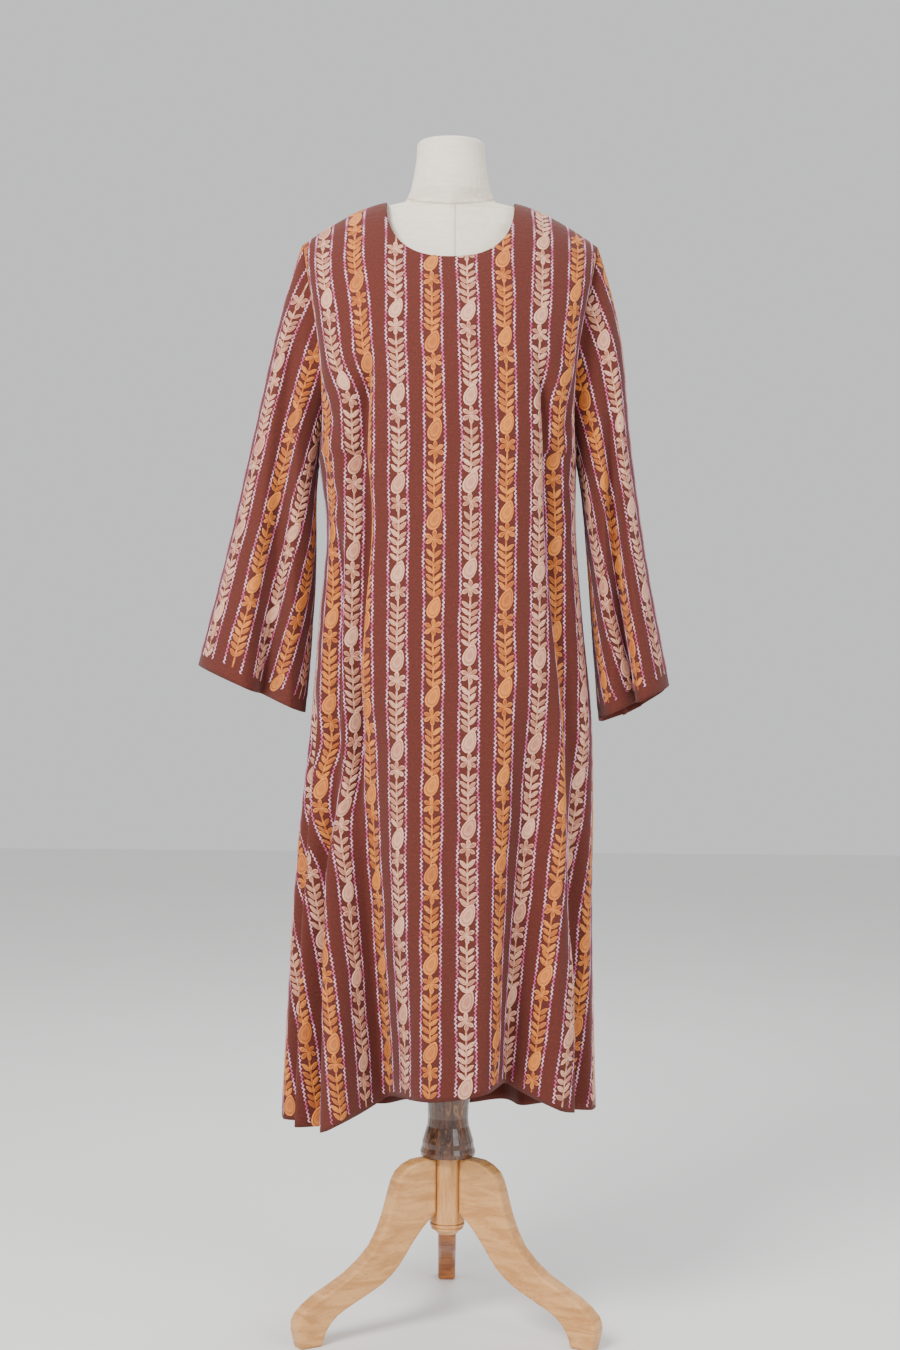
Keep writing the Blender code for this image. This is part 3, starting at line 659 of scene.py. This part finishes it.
def sleeve_grid(side, ring, rows):
    """Outer points of a sleeve: rings from the armhole to the cuff."""
    count = len(ring)
    angle = np.arange(count) * 360 / count
    sine = power(np.sin(np.radians(angle)), 0.9)
    cosine = power(np.cos(np.radians(angle)), 0.9)
    tip, pit = ring[0], ring[count // 2]
    start = (0.0, tip[0], tip[2], pit[0], pit[2], ARMHOLE_DEPTH, ARMHOLE_DEPTH)
    table = (start,) + SLEEVES[side]
    grid = []
    for share in np.linspace(0, 1, rows + 1):
        sizes = smooth_read(np.array([share]), table, SLEEVE_COLUMNS, SLEEVE_COLUMNS[1:])
        outer_x, outer_z, inner_x, inner_z, front, back = [v[0] for v in sizes]
        half = np.array([outer_x - inner_x, 0, outer_z - inner_z]) / 2
        deep = np.where(sine > 0, front, back)
        inward = np.zeros(count)
        for row in GROOVES[side]:
            groove = dict(zip(GROOVE_COLUMNS, row))
            line = groove["angle_top"] + (groove["angle_cuff"] - groove["angle_top"]) * share
            off = (angle - line + 180) % 360 - 180
            bump = 0.5 + 0.5 * np.cos(np.pi * np.clip(off / groove["half_width"], -1, 1))
            inward += bump * soft_step(share / SLEEVE_START) * (
                groove["depth_top"] + (groove["depth_cuff"] - groove["depth_top"]) * share
            )
        out_x = cosine / np.linalg.norm(half)
        out_y = sine / deep
        size = np.hypot(out_x, out_y)
        wide = cosine - inward * out_x / size / np.linalg.norm(half)
        points = np.array([(outer_x + inner_x) / 2, 0, (outer_z + inner_z) / 2]) + wide[:, None] * half
        points[:, 0] += SLEEVE_STAND_OFF * (-1 if side == "left" else 1) * (1 - share) ** 2
        points[:, 1] -= sine * deep - inward * out_y / size
        points[:, 2] -= CUFF_BACK_DROP[side] * share**3 * (-sine).clip(0, 1)
        grid.append(ring + (points - ring) * soft_step(share / SLEEVE_START))
    return np.array(grid)


def sleeve_axis(grid):
    """The direction from the middle of the armhole to the middle of the cuff."""
    axis = grid[-1].mean(axis=0) - grid[0].mean(axis=0)
    return axis / np.linalg.norm(axis)


def sections(grid, count):
    """The sleeve read again in sections square to its axis, and where each has cloth."""
    down = np.maximum.accumulate(grid @ sleeve_axis(grid), axis=0)
    levels = np.linspace(down.min(), down.max(), count)
    across = np.zeros((count,) + grid.shape[1:])
    shown = np.zeros((count, grid.shape[1]), bool)
    for column in range(grid.shape[1]):
        for k in range(3):
            across[:, column, k] = np.interp(levels, down[:, column], grid[:, column, k])
        shown[:, column] = (levels >= down[0, column]) & (levels <= down[-1, column])
    return levels, across, shown


sleeve_flats = {}
sleeve_shells = {}
for side, outside in (("left", -1), ("right", 1)):
    ring = armhole_ring(plain_grids, side, ARMHOLE_ROWS)
    tube = sleeve_grid(side, ring, SLEEVE_ROWS)
    count = tube.shape[1]
    order = (np.arange(count + 1) + count // 2) % count
    grid = tube[:, order] + np.array([AXIS_X, AXIS_Y, 0])
    levels, across, shown = sections(grid, 2 * SLEEVE_ROWS)
    whole = np.flatnonzero(shown.all(axis=1))
    flat = FlatCloth(across, outside, count // 2, int(whole[len(whole) // 2]), shown.astype(float))
    sleeve_flats[side] = flat
    down = grid @ sleeve_axis(grid)
    places = np.zeros(grid.shape)
    for column in range(count + 1):
        places[:, column, 0] = np.interp(down[:, column], levels, flat.grid_a[:, column])
        places[:, column, 1] = np.interp(down[:, column], levels, flat.grid_b[:, column])
    sleeve_shells[side] = cloth_shell("sleeve_" + side + "_cloth", grid, places, cotton.material, outside)


# Embroidery on every piece: vines of leaf pairs on a stem, with a bud and a six-petalled flower in
# each repeat, in ochre and rose-beige by turns, each vine between two wavy lines of pink thread.
# Machine-sewn in stranded cotton, raised from the cloth and following its folds.
VINE_PITCH = 0.0490
REPEAT = 0.1185
LEAF_PAIRS = 6
LEAF_STEP = 0.0104
FIRST_LEAF = 0.0535
FLOWER_BELOW_BUD = 0.0272
LEAF_LENGTH = 0.0156
LEAF_WIDTH = 0.0060
LEAF_RISE_DEGREES = 45
BUD_LENGTH = 0.0305
BUD_WIDTH = 0.0190
BUD_LEAN = 0.0078
PETAL_LENGTH = 0.0126
PETAL_WIDTH = 0.0060
PETAL_FULLNESS = 1.45
LEAF_FULLNESS = 0.92
PETAL_ANGLES = (90, 30, -30, -90, -150, 150)
STEM_HALF_WIDTH = 0.0012
THREAD_RISE = 0.0009
LINE_OFF = 0.0134
LINE_WAVE = 0.0058
LINE_SWING = 0.0013
LINE_HALF_WIDTH = 0.00100

# Height of one bud's middle and the repeat's length on each vine that the front shows; the sewing
# runs a little long or short, and the other vines are set by chance
FRONT_BUDS = {
    1: (1.431, 0.1180),
    2: (1.454, 0.1180),
    3: (1.056, 0.1198),
    4: (0.889, 0.1195),
    5: (0.945, 0.1165),
    6: (1.020, 0.1185),
    7: (1.058, 0.1170),
    8: (1.443, 0.1180),
}
# Where the side vines leave the straight grain of the front, drawn aside by the sleeves' weight
LEAN_COLUMNS = ("height", "shift")
VINE_LEANS = {
    0: ((1.38, 0.0), (1.25, 0.008), (1.10, 0.003), (0.96, 0.0)),
    1: ((1.495, -0.010), (1.38, 0.002), (1.28, 0.008), (1.15, 0.004), (1.00, 0.0)),
    2: ((1.495, -0.010), (1.38, 0.0)),
    7: ((1.495, 0.008), (1.36, 0.0)),
    8: ((1.495, 0.013), (1.38, 0.002), (1.27, -0.005), (1.12, 0.0)),
    9: ((1.495, 0.004), (1.38, 0.004), (1.27, -0.006), (1.12, 0.0)),
}
VINE_PATHS = {
    "front": {"vines": range(-5, 12), "first": -4.52 * VINE_PITCH, "rose": 1, "hem": 0.004},
    "back": {"vines": range(-9, 10), "first": -0.5 * VINE_PITCH, "rose": 1, "hem": 0.004},
    "left": {"vines": range(-6, 6), "first": 0.047, "rose": 0, "hem": 0.013},
    "right": {"vines": range(-6, 6), "first": 0.012, "rose": 1, "hem": 0.013},
}
chance = np.random.RandomState(24)


def ringed(outline, steps):
    """A raised motif: an outline and smaller rings inside it, each at its own height and tone."""
    count = len(outline)
    middle = outline.mean(0)
    points, faces = [], []
    for size, height, tone in steps:
        for place in middle + (outline - middle) * size:
            points.append((place[0], place[1], height * THREAD_RISE, tone))
    for ring in range(len(steps) - 1):
        for j in range(count):
            k = (j + 1) % count
            a, b = ring * count, (ring + 1) * count
            faces.append((a + j, a + k, b + k, b + j))
    last = (len(steps) - 1) * count
    faces.append(tuple(last + j for j in range(count)))
    return np.array(points), faces


def leaf_outline(length, width, fullness, count):
    """A leaf from its root at 0 along +Y; the more its fullness, the nearer its tip it is widest."""
    along = np.concatenate([np.linspace(0, 1, count // 2 + 1), np.linspace(1, 0, count // 2 + 1)[1:-1]])
    side = np.concatenate([np.ones(count // 2 + 1), -np.ones(count // 2 - 1)])
    half = width / 2 * np.sin(np.pi * along**fullness) ** 0.72
    return np.stack([side * half, along * length], -1)


def bud_outline(count):
    """A paisley bud: round at its foot, with a tip that leans to the right."""
    along = np.concatenate([np.linspace(0, 1, count // 2 + 1), np.linspace(1, 0, count // 2 + 1)[1:-1]])
    along = 0.5 - 0.5 * np.cos(np.pi * along)
    side = np.concatenate([np.ones(count // 2 + 1), -np.ones(count // 2 - 1)])
    half = BUD_WIDTH / 2 * 2.28 * along**0.5 * (1 - along) ** 0.72
    return np.stack([side * half + BUD_LEAN * along**1.8 - 0.002, (along - 0.5) * BUD_LENGTH], -1)


def turned(points, degrees):
    turn = math.radians(degrees)
    made = points.copy()
    made[:, 0] = points[:, 0] * math.cos(turn) + points[:, 1] * math.sin(turn)
    made[:, 1] = -points[:, 0] * math.sin(turn) + points[:, 1] * math.cos(turn)
    return made


STITCHED = ((1.0, 0.05, 0.55), (0.86, 0.95, 0.85), (0.60, 0.55, 0.10), (0.34, 0.85, 0.45))
LEAF = ringed(leaf_outline(LEAF_LENGTH, LEAF_WIDTH, LEAF_FULLNESS, 10), STITCHED)
BUD_STEPS = ((1.0, 0.05, 0.6), (0.90, 1.1, 0.85), (0.76, 0.65, 0.15), (0.58, 1.05, 0.6), (0.30, 0.8, 0.35))
BUD = ringed(bud_outline(18), BUD_STEPS)
PETAL = ringed(leaf_outline(PETAL_LENGTH, PETAL_WIDTH, PETAL_FULLNESS, 10), STITCHED[:3])


class Needlework:
    """One joined mesh of stitches, laid on a cloth from their places on its flat cut."""

    def __init__(self, name, flat, look, hand, hem):
        self.name = name
        self.hem = hem
        self.flat = flat
        self.look = look
        self.hand = hand
        self.shade = 0.0
        self.points = []
        self.lay = []
        self.faces = []
        self.count = 0

    def add(self, a, b, height, lay, faces):
        self.points.append(self.flat.lay(a, b, height))
        self.lay.append(lay)
        self.faces += [tuple(k + self.count for k in face) for face in faces]
        self.count += len(a)

    def motif(self, template, a, b, degrees, size=1.0, mirror=1):
        """A motif with its root at a place, turned clockwise from straight up."""
        points, faces = template
        local = turned(points[:, :2] * size, degrees)
        local[:, 0] *= mirror * self.hand
        at_a, at_b = a + local[:, 0], b - local[:, 1]
        if self.flat.covers(at_a, at_b + self.hem).mean() < 0.8:
            return
        if not self.flat.covers(np.array([a]), np.array([b + self.hem]))[0]:
            return
        tone = np.clip(points[:, 3] + self.shade, 0, 1)
        lay = np.stack([points[:, 0], points[:, 1], tone], -1)
        self.add(at_a, at_b, points[:, 2], lay, [face[::-1] for face in faces] if mirror < 0 else faces)

    def line(self, a, b, half_width, rise, tone):
        """A run of thread along places of the cut, with a round back."""
        shown = self.flat.covers(a, b + self.hem)
        run = np.stack([np.gradient(a), np.gradient(b)], -1)
        run /= np.linalg.norm(run, axis=-1, keepdims=True)
        across = np.stack([-run[:, 1], run[:, 0]], -1) * self.hand
        sides = [(-half_width, 0.05 * rise), (0.0, rise), (half_width, 0.05 * rise)]
        at_a = np.stack([a + off * across[:, 0] for off, _ in sides], -1).reshape(-1)
        at_b = np.stack([b + off * across[:, 1] for off, _ in sides], -1).reshape(-1)
        height = np.tile([h for _, h in sides], len(a))
        lay = np.stack([at_a - np.repeat(a, 3), at_b, np.repeat(tone, 3)], -1)
        faces = []
        for i in range(len(a) - 1):
            if shown[i] and shown[i + 1]:
                for j in (0, 1):
                    k = 3 * i + j
                    faces.append((k, k + 1, k + 4, k + 3))
        self.add(at_a, at_b, height, lay, faces)

    def make(self):
        points = np.concatenate(self.points)
        lay = np.concatenate(self.lay)
        used = np.unique([k for face in self.faces for k in face])
        place = np.full(len(points), -1)
        place[used] = np.arange(len(used))
        faces = [tuple(int(place[k]) for k in face) for face in self.faces]
        mesh = bpy.data.meshes.new(self.name)
        mesh.from_pydata([tuple(p) for p in points[used]], [], faces)
        thread_lay = mesh.attributes.new("lay", "FLOAT_VECTOR", "POINT")
        thread_lay.data.foreach_set("vector", lay[used].reshape(-1))
        mesh.materials.append(self.look)
        mesh.shade_smooth()
        piece = bpy.data.objects.new(self.name, mesh)
        bpy.context.scene.collection.objects.link(piece)
        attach(piece, "root")
        return piece


def thread_look(name, deep, pale, roughness):
    """Stranded cotton: its tone comes with the stitches, its strands are fine ridges."""
    look = Look(name, roughness, sheen_weight=0.12, sheen_roughness=0.4)
    lay = look.node("ShaderNodeAttribute", {"attribute_name": "lay"}, {}, "Vector")
    tone = look.node("ShaderNodeSeparateXYZ", {}, {0: lay}, 2)
    strands = look.waves(lay, 420.0, "Y", 1.0, 3.0)
    fuzz = look.noise(look.place(), 900.0, 2.0)
    look.feed("Base Color", look.mixed(look.between(tone + 0.35 * fuzz - 0.15, 0.0, 1.0), deep, pale))
    look.feed("Roughness", roughness - 0.08 + 0.16 * fuzz)
    look.bump(strands + 0.6 * fuzz, 0.0003, 0.7)
    return look.material


OCHRE = thread_look("thread_ochre", (0.38, 0.080, 0.008), (0.80, 0.275, 0.040), 0.62)
ROSE = thread_look("thread_rose_beige", (0.44, 0.145, 0.078), (0.86, 0.480, 0.330), 0.62)
PINK = thread_look("thread_pink", (0.52, 0.070, 0.230), (0.90, 0.500, 0.690), 0.55)


def slope(course, b):
    """How far a vine leans from the straight grain at a place, in degrees clockwise."""
    return math.degrees(math.atan2(float(course(b - LEAF_STEP) - course(b + LEAF_STEP)), 2 * LEAF_STEP))


def sew_leaves(work, course, b):
    """The leaf pairs of one repeat, below its flower, each leaf a little off its neighbour."""
    for pair in range(LEAF_PAIRS):
        root = b + FIRST_LEAF + pair * LEAF_STEP
        lean = slope(course, root) * work.hand
        for mirror in (1, -1):
            tilt = 90 - LEAF_RISE_DEGREES + chance.uniform(-7, 7) + mirror * lean
            drop = chance.uniform(-0.0012, 0.0012)
            work.shade = chance.uniform(-0.36, 0.30)
            work.motif(LEAF, float(course(root)), root + drop, tilt, chance.uniform(0.92, 1.07), mirror)


def sew_flower(work, course, b):
    """Six petals round a middle, none quite like the next."""
    for angle in PETAL_ANGLES:
        work.shade = chance.uniform(-0.30, 0.35)
        turn = 90 - angle + chance.uniform(-8, 8)
        work.motif(PETAL, float(course(b)), b, turn, chance.uniform(0.93, 1.1))


def sew_vine(vines, lines, course, first_bud, length, bottom):
    """One vine down a cloth: its stem, its repeats and the two wavy lines beside it."""
    flat = vines.flat
    b = np.arange(flat.b[0], bottom, 0.004)
    vines.line(course(b), b, STEM_HALF_WIDTH, 0.6 * THREAD_RISE, 0.45 + 0.3 * np.sin(b * 410))
    start = first_bud - length * math.ceil((first_bud - flat.b[0]) / length + 1)
    for repeat in range(int((bottom - start) / length) + 1):
        bud = start + repeat * length
        sew_leaves(vines, course, bud)
        sew_flower(vines, course, bud + FLOWER_BELOW_BUD)
        vines.shade = chance.uniform(-0.15, 0.2)
        turn = slope(course, bud) + chance.uniform(-4, 4)
        vines.motif(BUD, float(course(bud)), bud, turn, chance.uniform(0.96, 1.04))
    for way in (-1, 1):
        b = np.arange(flat.b[0], bottom, LINE_WAVE / 2)
        wave = LINE_SWING * np.where(np.arange(len(b)) % 2, 1, -1) * chance.uniform(0.75, 1.15, len(b))
        drift = 0.0006 * np.sin(b * 37 + chance.uniform(0, 6))
        tone = 0.5 + 0.45 * np.sin(b * 2 * math.pi / chance.uniform(0.030, 0.055) + chance.uniform(0, 6))
        tone = tone + chance.uniform(-0.2, 0.2, len(b))
        lines.line(course(b) + way * LINE_OFF + wave + drift, b, LINE_HALF_WIDTH, 0.75 * THREAD_RISE, tone)


def sew_cloth(name, flat, hand, path):
    """All the embroidery of one cloth: the ochre vines, the rose ones and the pink lines."""
    parts = (("vines_ochre", OCHRE), ("vines_rose", ROSE), ("lines_pink", PINK))
    works = [Needlework(f"{name}_{part}", flat, look, hand, path["hem"]) for part, look in parts]
    for number in path["vines"]:
        a = path["first"] + number * VINE_PITCH
        column = int(round((a - flat.a[0]) / flat.step))
        if not 0 <= column < len(flat.a) or not flat.inside[:, column].any():
            continue
        first_bud, length = chance.uniform(0, REPEAT), REPEAT
        heights = flat.points[:, column, 2]
        leans = np.zeros(len(flat.b))
        if name == "front" and number in FRONT_BUDS:
            height, length = FRONT_BUDS[number]
            first_bud = float(np.interp(-height, -heights, flat.b))
        if name == "front" and number in VINE_LEANS:
            leans = smooth_read(heights, VINE_LEANS[number], LEAN_COLUMNS, ("shift",))[0]

        def course(b, a=a, leans=leans):
            return a + np.interp(b, flat.b, leans) + 0.0005 * np.sin(np.asarray(b) * 61 + a * 900)

        sew_vine(works[int(number % 2 == path["rose"])], works[2], course, first_bud, length, flat.b[-1])
    return [work.make() for work in works]


embroidery = {
    "front": sew_cloth("front", body_flats["front"], 1, VINE_PATHS["front"]),
    "back": sew_cloth("back", body_flats["back"], -1, VINE_PATHS["back"]),
    "left": sew_cloth("sleeve_left", sleeve_flats["left"], 1, VINE_PATHS["left"]),
    "right": sew_cloth("sleeve_right", sleeve_flats["right"], -1, VINE_PATHS["right"]),
}


# Every shell stands for its solid and rides with the stand. The sheets'
# sizes are measured on the cut that the hung cloth flattens to.
CLOTHS = (
    (body_shells["front"], "front", body_flats["front"], "front", ("form_torso", "back_cloth")),
    (body_shells["back"], "back", body_flats["back"], "back", ("form_torso", "front_cloth")),
    (sleeve_shells["left"], "sleeve_left", sleeve_flats["left"], "left", ("front_cloth", "back_cloth")),
    (sleeve_shells["right"], "sleeve_right", sleeve_flats["right"], "right", ("front_cloth", "back_cloth")),
)
for piece, node, flat, sewn, carried_by in CLOTHS:
    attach(piece, "root")
    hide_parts(node)
    sizes = {"flat": flat.flat, "area": flat.area, "with_pieces": embroidery[sewn]}


# A plain pale floor and a soft studio: one large light in front on the left, a weaker one on the
# right and one overhead, all wide enough to leave no hard shadow.
FLOOR_SIZE = 14.0
floor_look = Look("studio_floor", 0.75)
floor_tone = floor_look.noise(floor_look.place(), 3.0, 2.0)
floor_look.feed("Base Color", floor_look.mixed(floor_tone, (0.80, 0.795, 0.785), (0.84, 0.835, 0.825)))
floor_mesh = bpy.data.meshes.new("floor")
floor_half = FLOOR_SIZE / 2
corners = [(-1, -1), (1, -1), (1, 1), (-1, 1)]
floor_mesh.from_pydata([(x * floor_half, y * floor_half, 0) for x, y in corners], [], [(0, 1, 2, 3)])
floor_mesh.materials.append(floor_look.material)
floor = bpy.data.objects.new("floor", floor_mesh)
bpy.context.scene.collection.objects.link(floor)

LIGHT_COLUMNS = ("name", "place", "size", "watts", "colour")
LIGHTS = (
    ("key_light", (-1.5, -2.3, 2.9), 1.5, 150, (1.0, 0.985, 0.96)),
    ("fill_light", (2.3, -2.2, 1.9), 2.0, 40, (0.97, 0.985, 1.0)),
    ("top_light", (0.3, 1.5, 3.0), 2.2, 40, (1.0, 1.0, 1.0)),
)
for row in LIGHTS:
    size = dict(zip(LIGHT_COLUMNS, row))
    lamp = bpy.data.lights.new(size["name"], "AREA")
    lamp.shape = "DISK"
    lamp.size = size["size"]
    lamp.energy = size["watts"]
    lamp.color = size["colour"]
    stand = bpy.data.objects.new(size["name"], lamp)
    stand.location = size["place"]
    aim = np.array([0, 0, 0.9]) - np.array(size["place"])
    flat_run = math.hypot(aim[0], aim[1])
    stand.rotation_euler = (math.atan2(flat_run, -aim[2]), 0, math.atan2(aim[1], aim[0]) - math.pi / 2)
    bpy.context.scene.collection.objects.link(stand)

world = bpy.data.worlds.new("studio")
world.use_nodes = True
world.node_tree.nodes["Background"].inputs["Color"].default_value = (0.93, 0.935, 0.94, 1.0)
world.node_tree.nodes["Background"].inputs["Strength"].default_value = 0.85
bpy.context.scene.world = world


# The camera stands three metres in front of the form, level with its waist, and leans a hair.
CAMERA_AWAY = 3.0
CAMERA_HEIGHT = 0.95
FOCAL_PIXELS = 2126.0
IMAGE_HEIGHT = 1350.0
SENSOR = 36.0
AXIS_OFF_CENTRE_PIXELS = 1.9
HORIZON_ABOVE_CENTRE_PIXELS = 24.0
LEAN_DEGREES = 0.47
camera_data = bpy.data.cameras.new("camera")
camera_data.sensor_width = SENSOR
camera_data.lens = FOCAL_PIXELS / IMAGE_HEIGHT * SENSOR
camera = bpy.data.objects.new("camera", camera_data)
shift_x = -AXIS_OFF_CENTRE_PIXELS / FOCAL_PIXELS * CAMERA_AWAY
camera.location = (AXIS_X + shift_x, AXIS_Y - CAMERA_AWAY, CAMERA_HEIGHT)
pitch = math.atan(HORIZON_ABOVE_CENTRE_PIXELS / FOCAL_PIXELS)
camera.rotation_mode = "XYZ"
camera.rotation_euler = (math.pi / 2 - pitch, -math.radians(LEAN_DEGREES), 0)
bpy.context.scene.collection.objects.link(camera)
bpy.context.scene.camera = camera
